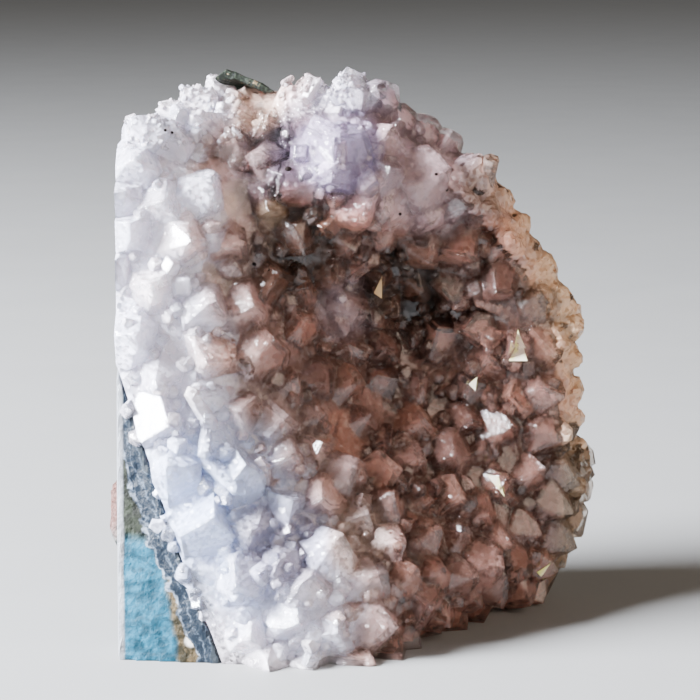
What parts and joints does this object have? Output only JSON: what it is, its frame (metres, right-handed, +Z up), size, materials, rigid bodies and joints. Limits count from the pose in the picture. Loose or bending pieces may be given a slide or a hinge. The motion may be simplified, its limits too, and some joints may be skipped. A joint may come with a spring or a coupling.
{
  "type": "amethyst geode",
  "caption": "Cut-base amethyst geode that stands on its sawn face, with a lavender druse of quartz points on the open side and rough rock behind.",
  "frame": {"origin": "centre of the bounding box at the sawn base", "axes": "+Z up from the base, -Y out of the crystal side, +X to the right as seen from the crystal side; the sawn left side faces -X"},
  "size_m": [0.0838, 0.0624, 0.094],
  "materials": {
    "rock": "matte, sawn faces satin",
    "crystal": "vitreous"
  },
  "bodies": {
    "root": {"rock_matrix": "rock", "crystal_crust": "crystal"}
  },
  "joints": []
}
